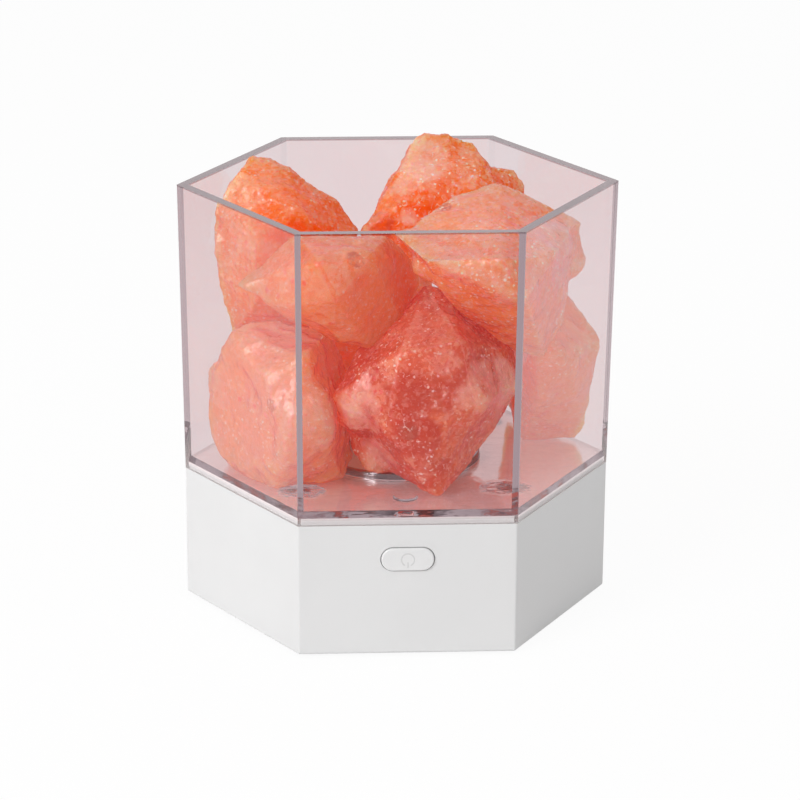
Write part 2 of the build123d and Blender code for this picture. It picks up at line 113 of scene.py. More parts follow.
def calc(tree, operation, a, b=0.5, c=0.5, clamp=False):
    return put(tree, "Math", {0: a, 1: b, 2: c}, operation=operation, use_clamp=clamp).outputs[0]


def vectorCalc(tree, operation, a, b):
    return put(tree, "VectorMath", {0: a, 1: b}, operation=operation).outputs[0]


def scaled(tree, vector, size):
    return put(tree, "VectorMath", {0: vector, "Scale": size}, operation="SCALE").outputs[0]


def moved(tree, point, step, size):
    # the point, moved by size times the step
    values = {0: step, 1: (size, size, size), 2: point}
    return put(tree, "VectorMath", values, operation="MULTIPLY_ADD").outputs[0]


def fromMiddle(tree, value):
    # turns a noise's colour into a step to either side
    return vectorCalc(tree, "SUBTRACT", value, (noiseMiddle, noiseMiddle, noiseMiddle))


def ramp(tree, value, low, high, toLow=0.0, toHigh=1.0):
    # value from low..high becomes toLow..toHigh, smoothly and clamped
    values = {"Value": value, "From Min": low, "From Max": high, "To Min": toLow, "To Max": toHigh}
    return put(tree, "MapRange", values, interpolation_type="SMOOTHSTEP").outputs[0]


def blend(tree, share, a, b):
    # a where share is 0, b where it is 1
    return put(tree, "Mix", {0: share, 6: a, 7: b}, data_type="RGBA").outputs[2]


def noise(tree, vector, scale, detail=3.0, roughness=0.5, distortion=0.0):
    values = {"Vector": vector, "Scale": scale, "Detail": detail, "Roughness": roughness}
    return put(tree, "TexNoise", {**values, "Distortion": distortion}).outputs


def cells(tree, vector, scale, distance="EUCLIDEAN"):
    return put(tree, "TexVoronoi", {"Vector": vector, "Scale": scale}, distance=distance).outputs


def firstOf(tree, colour):
    return put(tree, "SeparateColor", {0: colour}).outputs[0]


def heightOf(tree, point):
    return put(tree, "SeparateXYZ", {0: point}).outputs[2]


def objectPoint(tree):
    return put(tree, "TexCoord").outputs["Object"]


def newGroup(name, inputs, outputs):
    tree = bpy.data.node_groups.new(name, "ShaderNodeTree")
    for label, kind in inputs.items():
        tree.interface.new_socket(label, in_out="INPUT", socket_type="NodeSocket" + kind)
    for label, kind in outputs.items():
        tree.interface.new_socket(label, in_out="OUTPUT", socket_type="NodeSocket" + kind)
    given = tree.nodes.new("NodeGroupInput").outputs
    return tree, given, tree.nodes.new("NodeGroupOutput").inputs


def useGroup(tree, group, values):
    node = tree.nodes.new("ShaderNodeGroup")
    node.node_tree = group
    fill(tree, node, values)
    return node.outputs


def newMaterial(name, **sockets):
    material = bpy.data.materials.new(name)
    material.use_nodes = True
    tree = material.node_tree
    tree.nodes.clear()
    values = {key.replace("_", " "): value for key, value in sockets.items()}
    shader = put(tree, "BsdfPrincipled", values)
    out = put(tree, "OutputMaterial", {"Surface": shader.outputs[0]})
    return material, tree, shader, out


def addBump(tree, shader, height, depth, normal=None):
    bump = put(tree, "Bump", {"Height": height, "Distance": depth})
    if normal:
        join(tree, normal, bump.inputs["Normal"])
    join(tree, bump.outputs[0], shader.inputs["Normal"])


def lightPasses(tree):
    # 1 where light is only on its way to something else, 0 where the piece itself is seen
    path = put(tree, "LightPath").outputs
    return path, calc(tree, "MAXIMUM", path["Is Shadow Ray"], path["Is Diffuse Ray"])


def beforeMatt(tree, path):
    # 1 on a path that hasn't met a matt surface yet: the depth counts those it has met
    return calc(tree, "LESS_THAN", path["Diffuse Depth"], 0.5)


# fine grain of moulded and of plated pieces; sizes are patterns per metre
grainValues = {"cloudSize": 35.0, "clouds": (0.35, 0.65), "roughness": 0.6, "spread": 0.12}


def makeGrainGroup(values):
    kinds = {"Vector": "Vector", "Colour": "Color", "Shade": "Color", "Size": "Float"}
    kinds["Gloss"] = "Float"
    results = {"Colour": "Color", "Roughness": "Float", "Height": "Float"}
    tree, given, made = newGroup("mouldedGrain", kinds, results)
    cloud = noise(tree, given["Vector"], values["cloudSize"])[0]
    cloud = ramp(tree, cloud, *values["clouds"])
    grain = noise(tree, given["Vector"], given["Size"], detail=4.0,
                  roughness=values["roughness"])[0]
    join(tree, blend(tree, cloud, given["Colour"], given["Shade"]), made["Colour"])
    rough = calc(tree, "MULTIPLY_ADD", grain, values["spread"], given["Gloss"])
    join(tree, rough, made["Roughness"])
    join(tree, grain, made["Height"])
    return tree


# a ragged ball round a place; fade is where it ends, as a share of its size
spotValues = {"driftSize": 140.0, "roughness": 0.6, "fade": (0.7, 1.05, 1.0, 0.0)}


def makeSpotGroup(values):
    # 1 inside the ball round Place, 0 outside it
    kinds = {"Vector": "Vector", "Place": "Vector", "Size": "Float"}
    tree, given, made = newGroup("raggedSpot", kinds, {"Share": "Float"})
    drift = noise(tree, given["Vector"], values["driftSize"], detail=4.0,
                  roughness=values["roughness"])[1]
    reach = scaled(tree, fromMiddle(tree, drift), given["Size"])
    point = vectorCalc(tree, "ADD", given["Vector"], reach)
    far = put(tree, "VectorMath", {0: point, 1: given["Place"]}, operation="DISTANCE").outputs[1]
    share = ramp(tree, calc(tree, "DIVIDE", far, given["Size"]), *values["fade"])
    join(tree, share, made["Share"])
    return tree


# sizes are patterns per metre, drift and shake are metres
# a pair says where an effect fades in, and two more numbers what it fades from and to
saltPattern = {
    "driftSize": 45.0, "drift": 0.006, "zoneSize": 45.0, "zones": (0.4, 0.62),
    "cloudSize": 150.0, "cloudRoughness": 0.62, "marble": (0.48, 0.74),
    "tuftSize": 420.0, "tuftRoughness": 0.65,
    "faceTurn": (0.9, 0.7, 0.4), "faceSize": 1.9, "deepFaces": (0.35, 0.9), "paleFaces": (0.5, 1.0),
    "below": (0.05, -0.35),
    "shakeSize": 900.0, "shake": 0.0007, "grainSize": 1250.0, "grainShare": 0.5,
    "paleGrain": (0.5, 0.8), "deepGrain": (0.5, 0.22),
    "stainSize": 75.0, "stainRoughness": 0.65, "stains": (0.6, 0.72),
    "markTufts": (0.3, 0.6, 0.3, 1.0), "stainColour": (0.42, 0.075, 0.045),
    "crackSize": 60.0, "crackRoughness": 0.55, "crackTwist": 0.4,
    "cracks": (0.0, 0.01, 1.0, 0.0), "crackZones": (0.5, 0.65),
    "worn": (0.5, 0.56), "wornFrost": 0.3, "above": (0.2, 0.95), "aboveFrost": 0.35,
    "frostClouds": (0.35, 0.6), "crustClouds": (0.38, 0.56, 0.35, 1.0),
    "wornWarmth": 0.8, "warmTint": (1.0, 0.56, 0.73),
    "patchSize": 85.0, "patches": (0.4, 0.58, 0.25, 1.0),
    "fleckSize": 850.0, "flecksKept": (0.7, 0.76), "flecks": (0.16, 0.36, 1.0, 0.0),
    "strokeSize": 620.0, "strokes": (0.006, 0.03, 1.0, 0.0), "strokeShare": 0.85,
    "gapSize": 1000.0, "gaps": (0.54, 0.6), "glintColour": (1.0, 0.84, 0.77),
    "gloss": 0.08, "cloudGloss": 0.3, "frostGloss": 0.3, "fleckGloss": 0.15,
    "tilts": ((290.0, 0.2), (760.0, 0.42)), "tiltEverywhere": 0.5,
    "chipSize": 850.0, "chipsEverywhere": 0.45, "chipDepth": -0.5, "cloudDepth": 0.5,
}


def makeSaltGroup(values):
    kinds = {"Vector": "Vector", "Pale": "Color", "Body": "Color", "Deep": "Color"}
    shares = ("Frost", "Marble", "Veins", "Glints", "Stain", "Facets", "Under", "Core",
              "CrustAndPaintedLight", "Mark", "Edge", "Grain")
    kinds.update({label: "Float" for label in shares})
    results = {"Colour": "Color", "Roughness": "Float", "Height": "Float", "Normal": "Vector"}
    tree, given, made = newGroup("brokenSalt", kinds, results)

    def times(a, b):
        return calc(tree, "MULTIPLY", a, b)

    def over(colour, share, label):
        return blend(tree, share, colour, given[label])

    point = given["Vector"]
    pushed = fromMiddle(tree, noise(tree, point, values["driftSize"], detail=2.0)[1])
    warped = moved(tree, point, pushed, values["drift"])
    zones = noise(tree, warped, values["zoneSize"], detail=2.0)[0]
    clouds = noise(tree, warped, values["cloudSize"], detail=6.0,
                   roughness=values["cloudRoughness"])[0]
    tuft = noise(tree, point, values["tuftSize"], detail=4.0,
                 roughness=values["tuftRoughness"])[0]
    surface = put(tree, "NewGeometry").outputs
    facing = heightOf(tree, surface["Normal"])
    colour = over(given["Body"], ramp(tree, zones, *values["zones"]), "Deep")
    colour = over(colour, times(ramp(tree, clouds, *values["marble"]), given["Marble"]), "Pale")
    # each broken face lies at its own depth of colour
    turned = vectorCalc(tree, "ADD", surface["Normal"], values["faceTurn"])
    face = cells(tree, turned, values["faceSize"], "MANHATTAN")["Color"]
    depth = put(tree, "SeparateColor", {0: face}).outputs
    deeper = times(ramp(tree, depth[0], *values["deepFaces"]), given["Facets"])
    colour = over(colour, deeper, "Deep")
    paler = times(ramp(tree, depth[1], *values["paleFaces"]), given["Facets"])
    colour = over(colour, paler, "Pale")
    # painted shade: faces that turn downwards take the deep colour; the cores add deep colour at
    # given places
    under = times(ramp(tree, facing, *values["below"]), given["Under"])
    colour = over(colour, calc(tree, "MAXIMUM", under, given["Core"]), "Deep")
    # sugary fracture: the colour changes from grain to grain
    shaking = noise(tree, point, values["shakeSize"], detail=2.0)[1]
    shaken = moved(tree, point, shaking, values["shake"])
    tint = firstOf(tree, cells(tree, shaken, values["grainSize"])["Color"])
    tint = calc(tree, "SUBTRACT", tint, noiseMiddle)
    tint = calc(tree, "MULTIPLY_ADD", tint, values["grainShare"], tuft)
    colour = over(colour, times(ramp(tree, tint, *values["paleGrain"]), given["Grain"]), "Pale")
    colour = over(colour, times(ramp(tree, tint, *values["deepGrain"]), given["Grain"]), "Deep")
    # dark stains of earth and rust in a few places, and dark marks at given places; the mark on
    # saltTopBack is painted shade
    stain = noise(tree, point, values["stainSize"], detail=5.0,
                  roughness=values["stainRoughness"])[0]
    stain = times(ramp(tree, stain, *values["stains"]), given["Stain"])
    mark = times(given["Mark"], ramp(tree, tuft, *values["markTufts"]))
    stain = calc(tree, "MAXIMUM", stain, mark)
    colour = blend(tree, stain, colour, opaque(values["stainColour"]))
    # healed cracks: thin wandering lines
    crack = noise(tree, warped, values["crackSize"], detail=4.0,
                  roughness=values["crackRoughness"], distortion=values["crackTwist"])[0]
    crack = calc(tree, "ABSOLUTE", calc(tree, "SUBTRACT", crack, noiseMiddle))
    line = times(ramp(tree, crack, *values["cracks"]), ramp(tree, zones, *values["crackZones"]))
    colour = over(colour, times(line, given["Veins"]), "Deep")
    # frost: crushed, whitish crystal on the worn edges, on what faces up, and in the crusts,
    # some of which are painted light on sides in shade
    worn = ramp(tree, surface["Pointiness"], *values["worn"])
    above = ramp(tree, facing, *values["above"])
    frost = times(worn, values["wornFrost"])
    frost = calc(tree, "MULTIPLY_ADD", above, values["aboveFrost"], frost)
    frost = times(times(frost, ramp(tree, clouds, *values["frostClouds"])), given["Frost"])
    crust = times(given["CrustAndPaintedLight"], ramp(tree, clouds, *values["crustClouds"]))
    frost = calc(tree, "MAXIMUM", frost, crust)
    colour = over(colour, frost, "Pale")
    # thin edges lose their red light inside, so they're made warmer
    warm = calc(tree, "MAXIMUM", given["Edge"], times(worn, values["wornWarmth"]))
    warm = blend(tree, warm, white, opaque(values["warmTint"]))
    colour = vectorCalc(tree, "MULTIPLY", colour, warm)
    # painted glints: bright specks where crystal faces would catch the light, in clusters
    patch = ramp(tree, noise(tree, point, values["patchSize"])[0], *values["patches"])
    speck = cells(tree, shaken, values["fleckSize"])
    kept = ramp(tree, firstOf(tree, speck["Color"]), *values["flecksKept"])
    fleck = times(ramp(tree, speck["Distance"], *values["flecks"]), kept)
    # and short curved strokes, painted glints on the rims of broken flakes
    stroke = noise(tree, shaken, values["strokeSize"], detail=1.0)[0]
    stroke = calc(tree, "ABSOLUTE", calc(tree, "SUBTRACT", stroke, noiseMiddle))
    gap = noise(tree, point, values["gapSize"], detail=1.0)[0]
    stroke = times(ramp(tree, stroke, *values["strokes"]), ramp(tree, gap, *values["gaps"]))
    fleck = calc(tree, "MAXIMUM", fleck, times(stroke, values["strokeShare"]))
    fleck = times(times(fleck, patch), given["Glints"])
    colour = blend(tree, fleck, colour, opaque(values["glintColour"]))
    join(tree, colour, made["Colour"])
    rough = calc(tree, "MULTIPLY_ADD", frost, values["frostGloss"], values["gloss"])
    rough = calc(tree, "MULTIPLY_ADD", clouds, values["cloudGloss"], rough)
    rough = calc(tree, "SUBTRACT", rough, times(fleck, values["fleckGloss"]), clamp=True)
    join(tree, rough, made["Roughness"])
    # broken crystal faces, large and small, each tilted its own way
    tilt = surface["Normal"]
    for size, amount in values["tilts"]:
        lean = fromMiddle(tree, cells(tree, shaken, size)["Color"])
        share = times(calc(tree, "ADD", given["CrustAndPaintedLight"], values["tiltEverywhere"]), amount)
        tilt = vectorCalc(tree, "ADD", tilt, scaled(tree, lean, share))
    tilt = put(tree, "VectorMath", {0: tilt}, operation="NORMALIZE").outputs[0]
    join(tree, tilt, made["Normal"])
    chips = cells(tree, shaken, values["chipSize"], "CHEBYCHEV")["Distance"]
    chips = times(chips, calc(tree, "ADD", given["CrustAndPaintedLight"], values["chipsEverywhere"]))
    height = calc(tree, "MULTIPLY_ADD", chips, values["chipDepth"], tuft)
    height = calc(tree, "MULTIPLY_ADD", clouds, values["cloudDepth"], height)
    join(tree, height, made["Height"])
    return tree


mouldedGrain = makeGrainGroup(grainValues)
raggedSpot = makeSpotGroup(spotValues)
brokenSalt = makeSaltGroup(saltPattern)

# plain finishes of the CAD pieces: colour, its darker shade, gloss,
# grains per metre and their depth in mm
plainFinishes = {
    "whitePlastic": dict(
        colour=(0.718, 0.718, 0.718), shade=(0.704, 0.704, 0.704),
        gloss=0.38, size=2600, depth=0.012),
    "buttonPlastic": dict(
        colour=(0.742, 0.742, 0.742), shade=(0.723, 0.723, 0.723),
        gloss=0.3, size=2600, depth=0.006),
    "footRubber": dict(
        colour=(0.5, 0.5, 0.5), shade=(0.44, 0.44, 0.44),
        gloss=0.7, size=1800, depth=0.03),
    "cupPlastic": dict(
        colour=(0.85, 0.85, 0.83), shade=(0.8, 0.8, 0.78),
        gloss=0.25, size=1500, depth=0.004),
    "boardWhite": dict(
        colour=(0.78, 0.78, 0.74), shade=(0.7, 0.7, 0.66),
        gloss=0.35, size=900, depth=0.01),
    "boardGreen": dict(
        colour=(0.01, 0.09, 0.03), shade=(0.012, 0.12, 0.045),
        gloss=0.3, size=900, depth=0.02),
    "ledYellow": dict(
        colour=(0.85, 0.6, 0.07), shade=(0.75, 0.48, 0.04),
        gloss=0.3, size=3000, depth=0.02),
    "componentBlack": dict(
        colour=(0.012, 0.012, 0.012), shade=(0.02, 0.02, 0.02),
        gloss=0.5, size=2500, depth=0.02),
    "socketPlastic": dict(
        colour=(0.75, 0.72, 0.62), shade=(0.68, 0.65, 0.55),
        gloss=0.4, size=2500, depth=0.01),
    "wireJacket": dict(
        colour=(0.42, 0.012, 0.01), shade=(0.32, 0.008, 0.007),
        gloss=0.35, size=1500, depth=0.01),
}
metalFinishes = {
    "screwSteel": dict(
        colour=(0.46, 0.46, 0.47), shade=(0.3, 0.3, 0.32),
        gloss=0.28, size=1600, depth=0.01),
    "socketSteel": dict(
        colour=(0.6, 0.6, 0.6), shade=(0.5, 0.5, 0.5),
        gloss=0.25, size=2200, depth=0.005),
    "chromeRing": dict(
        colour=(0.36, 0.34, 0.35), shade=(0.3, 0.28, 0.29),
        gloss=0.04, size=1200, depth=0.002),
}
mirrorFinish = dict(
    colour=(0.99, 0.95, 0.945), shade=(0.98, 0.93, 0.925), gloss=0.01, size=700, depth=0.002,
    metallic=0.4)


def makeFinish(name, look, metallic):
    material, tree, shader = newMaterial(name, Metallic=metallic)[:3]
    values = {
        "Vector": objectPoint(tree),
        "Colour": opaque(look["colour"]),
        "Shade": opaque(look["shade"]),
        "Size": look["size"],
        "Gloss": look["gloss"],
    }
    grain = useGroup(tree, mouldedGrain, values)
    join(tree, grain["Colour"], shader.inputs["Base Color"])
    join(tree, grain["Roughness"], shader.inputs["Roughness"])
    addBump(tree, shader, grain["Height"], look["depth"] * mm)
    return material


materials = {name: makeFinish(name, look, 0.0) for name, look in plainFinishes.items()}
materials.update({name: makeFinish(name, look, 1.0) for name, look in metalFinishes.items()})
materials["mirrorSheet"] = makeFinish("mirrorSheet", mirrorFinish, mirrorFinish["metallic"])

# low, foot and rim: heights on the tub between which something fades
# edgeDepth: after how many steps inside the plastic a path ends as edgeGlow, a painted glow;
# a mirrored step counts turnShare times
# wavyPlaces: the screw heads seen through the floor, in mm
acrylicValues = {
    "tint": (0.98, 0.963, 0.968), "ior": 1.49, "roughness": 0.0,
    "passTint": (0.995, 0.975, 0.975), "depthTint": (0.3, 0.13, 0.19), "depthDensity": 14.0,
    "edgeGlow": (0.5, 0.41, 0.435), "edgeDepth": 8.5, "turnShare": 2.5,
    "markStretch": (110, 110, 700), "markRoughness": 0.6, "low": (37.2 * mm, 36.6 * mm),
    "darkGlowPatches": (0.5, 0.58), "darkGlowColour": (0.10, 0.07, 0.08),
    "redGlowPatches": (0.54, 0.62), "redGlowColour": (0.5, 0.13, 0.11),
    "rimFrom": 105.4 * mm, "rimFade": 0.3 * mm, "rimPaintedShade": (0.33, 0.26, 0.275),
    "foot": (36.2 * mm, 35.9 * mm), "smearSize": 60.0, "rippleSize": 260.0, "ripple": 12.0,
    "wavyPlaces": ((-24, -27, 36.8), (24, -27, 36.8)), "wavySize": 5.5 * mm,
    "waveSize": 420.0, "waveTwist": 0.5, "wave": 120.0, "bump": 0.004 * mm,
    "edgeRound": 0.6 * mm, "edgeSteps": 3, "edgeAngle": 35, "edgeWeld": 0.005 * mm,
    "edgeWeight": 100,
}


def makeAcrylic(values):
    material, tree, shader, out = newMaterial(
        "clearAcrylic",
        Roughness=values["roughness"],
        IOR=values["ior"],
        Transmission_Weight=1.0,
    )
    # light passes straight through, so that the salt inside is lit
    clear = put(tree, "BsdfTransparent", {0: opaque(values["passTint"])})
    path, through = lightPasses(tree)
    mixed = put(tree, "MixShader", {0: through, 1: shader.outputs[0], 2: clear.outputs[0]})
    # painted glow: a path led a long way inside a wall or its edge ends on a soft grey emission,
    # with painted dark and red patches in it near the foot
    point = objectPoint(tree)
    level = heightOf(tree, point)
    marks = put(tree, "Mapping", {"Vector": point, "Scale": values["markStretch"]}).outputs[0]
    marks = noise(tree, marks, scale=1.0, roughness=values["markRoughness"])
    low = ramp(tree, level, *values["low"])
    dark = calc(tree, "MULTIPLY", ramp(tree, marks[0], *values["darkGlowPatches"]), low)
    red = calc(tree, "MULTIPLY", ramp(tree, firstOf(tree, marks[1]), *values["redGlowPatches"]), low)
    shade = blend(tree, dark, opaque(values["edgeGlow"]), opaque(values["darkGlowColour"]))
    shade = blend(tree, red, shade, opaque(values["redGlowColour"]))
    led = put(tree, "Emission", {0: shade, 1: 1.0})
    turns = calc(tree, "MULTIPLY", path["Glossy Depth"], values["turnShare"])
    steps = calc(tree, "MAXIMUM", path["Ray Depth"], turns)
    deep = calc(tree, "GREATER_THAN", steps, values["edgeDepth"])
    deep = calc(tree, "MULTIPLY", deep, beforeMatt(tree, path))
    edged = put(tree, "MixShader", {0: deep, 1: mixed.outputs[0], 2: led.outputs[0]})
    join(tree, edged.outputs[0], out.inputs[0])
    # a long way through the plastic takes light away, so its far corners darken
    taken = {"Color": opaque(values["depthTint"]), "Density": values["depthDensity"]}
    depth = put(tree, "VolumeAbsorption", taken)
    join(tree, depth.outputs[0], out.inputs["Volume"])
    material.cycles.emission_sampling = "NONE"
    # painted shade: the top of the rim is tinted darker
    high = ramp(tree, level, values["rimFrom"], values["rimFrom"] + values["rimFade"])
    foot = ramp(tree, level, *values["foot"])
    shade = blend(tree, high, opaque(values["tint"]), opaque(values["rimPaintedShade"]))
    join(tree, blend(tree, foot, shade, white), shader.inputs["Base Color"])
    # faint waves in the walls, stronger ones at the foot and over the screw heads
    smear = noise(tree, point, values["smearSize"], detail=2.0)[0]
    ripple = noise(tree, point, values["rippleSize"], detail=2.0)[0]
    ripple = calc(tree, "MULTIPLY", ripple, low)
    height = calc(tree, "MULTIPLY_ADD", ripple, values["ripple"], smear)
    wavy = noise(tree, point, values["waveSize"], detail=2.0, distortion=values["waveTwist"])[0]
    for place in values["wavyPlaces"]:
        ball = {"Vector": point, "Place": Vector(place) * mm, "Size": values["wavySize"]}
        spot = useGroup(tree, raggedSpot, ball)
        local = calc(tree, "MULTIPLY", spot["Share"], wavy)
        height = calc(tree, "MULTIPLY_ADD", local, values["wave"], height)
    addBump(tree, shader, height, values["bump"])
    return material


lensValues = {
    "colour": (0.62, 0.6, 0.62), "shade": (0.5, 0.5, 0.52), "ior": 1.5, "coatRoughness": 0.03,
    "cloudSize": 90.0, "clouds": (0.3, 0.7), "grainSize": 600.0, "gloss": (0.3, 0.7, 0.1, 0.25),
}


def makeLens(values):
    material, tree, shader = newMaterial(
        "lensPlastic",
        IOR=values["ior"],
        Coat_Weight=1.0,
        Coat_Roughness=values["coatRoughness"],
    )[:3]
    point = objectPoint(tree)
    cloud = ramp(tree, noise(tree, point, values["cloudSize"])[0], *values["clouds"])
    shade = blend(tree, cloud, opaque(values["colour"]), opaque(values["shade"]))
    join(tree, shade, shader.inputs["Base Color"])
    rough = ramp(tree, noise(tree, point, values["grainSize"])[0], *values["gloss"])
    join(tree, rough, shader.inputs["Roughness"])
    return material


materials["clearAcrylic"] = makeAcrylic(acrylicValues)
materials["lensPlastic"] = makeLens(lensValues)

nodeFinishes = {
    "base_housing": "whitePlastic", "bottom_cover": "whitePlastic", "cover_screws": "screwSteel",
    "rubber_feet": "footRubber", "mirror_plate": "mirrorSheet", "deck_screws": "screwSteel",
    "light_bezel": "chromeRing", "light_lens": "lensPlastic", "reflector_cup": "cupPlastic",
    "led_board": "boardWhite", "led_chips": "ledYellow", "led_board_screws": "screwSteel",
    "main_board": "boardGreen", "main_board_screws": "screwSteel",
    "main_board_parts": "componentBlack", "wire_sockets": "socketPlastic",
    "usb_socket": "socketSteel", "usb_tongue": "componentBlack", "led_wires": "wireJacket",
    "button_wires": "wireJacket", "power_button": "buttonPlastic",
    "switch_plunger": "socketPlastic", "switch_body": "componentBlack",
    "button_board": "boardGreen", "button_board_screws": "screwSteel",
    "clear_tub": "clearAcrylic",
}
for nodeName, finish in nodeFinishes.items():
    nodes[nodeName].data.materials.clear()
    nodes[nodeName].data.materials.append(materials[finish])


def softenEdges(piece, values):
    # the moulded edges are slightly round, so they catch thin lines of light
    weld = piece.modifiers.new("weld", "WELD")
    weld.merge_threshold = values["edgeWeld"]
    bevel = piece.modifiers.new("softEdge", "BEVEL")
    bevel.width = values["edgeRound"]
    bevel.segments = values["edgeSteps"]
    bevel.limit_method = "ANGLE"
    bevel.angle_limit = radians(values["edgeAngle"])
    flat = piece.modifiers.new("flatSides", "WEIGHTED_NORMAL")
    flat.weight = values["edgeWeight"]


softenEdges(nodes["clear_tub"], acrylicValues)
print("finishes made")

# the salt's kinds: colour of its pale grains and crusts, of its body, and of its deep places
saltTones = {
    "peach": dict(pale=(0.99, 0.53, 0.47), body=(0.99, 0.37, 0.20), deep=(0.98, 0.24, 0.07)),
    "blush": dict(pale=(0.90, 0.49, 0.41), body=(0.85, 0.32, 0.21), deep=(0.94, 0.29, 0.13)),
    "red": dict(pale=(0.93, 0.47, 0.37), body=(0.82, 0.21, 0.10), deep=(0.58, 0.06, 0.026)),
    "pale": dict(pale=(0.97, 0.49, 0.34), body=(0.95, 0.28, 0.11), deep=(0.94, 0.22, 0.08)),
    "orange": dict(pale=(0.99, 0.51, 0.38), body=(0.99, 0.22, 0.03), deep=(0.97, 0.15, 0.012)),
    "glassy": dict(pale=(0.96, 0.44, 0.33), body=(0.96, 0.27, 0.11), deep=(0.93, 0.19, 0.05)),
}
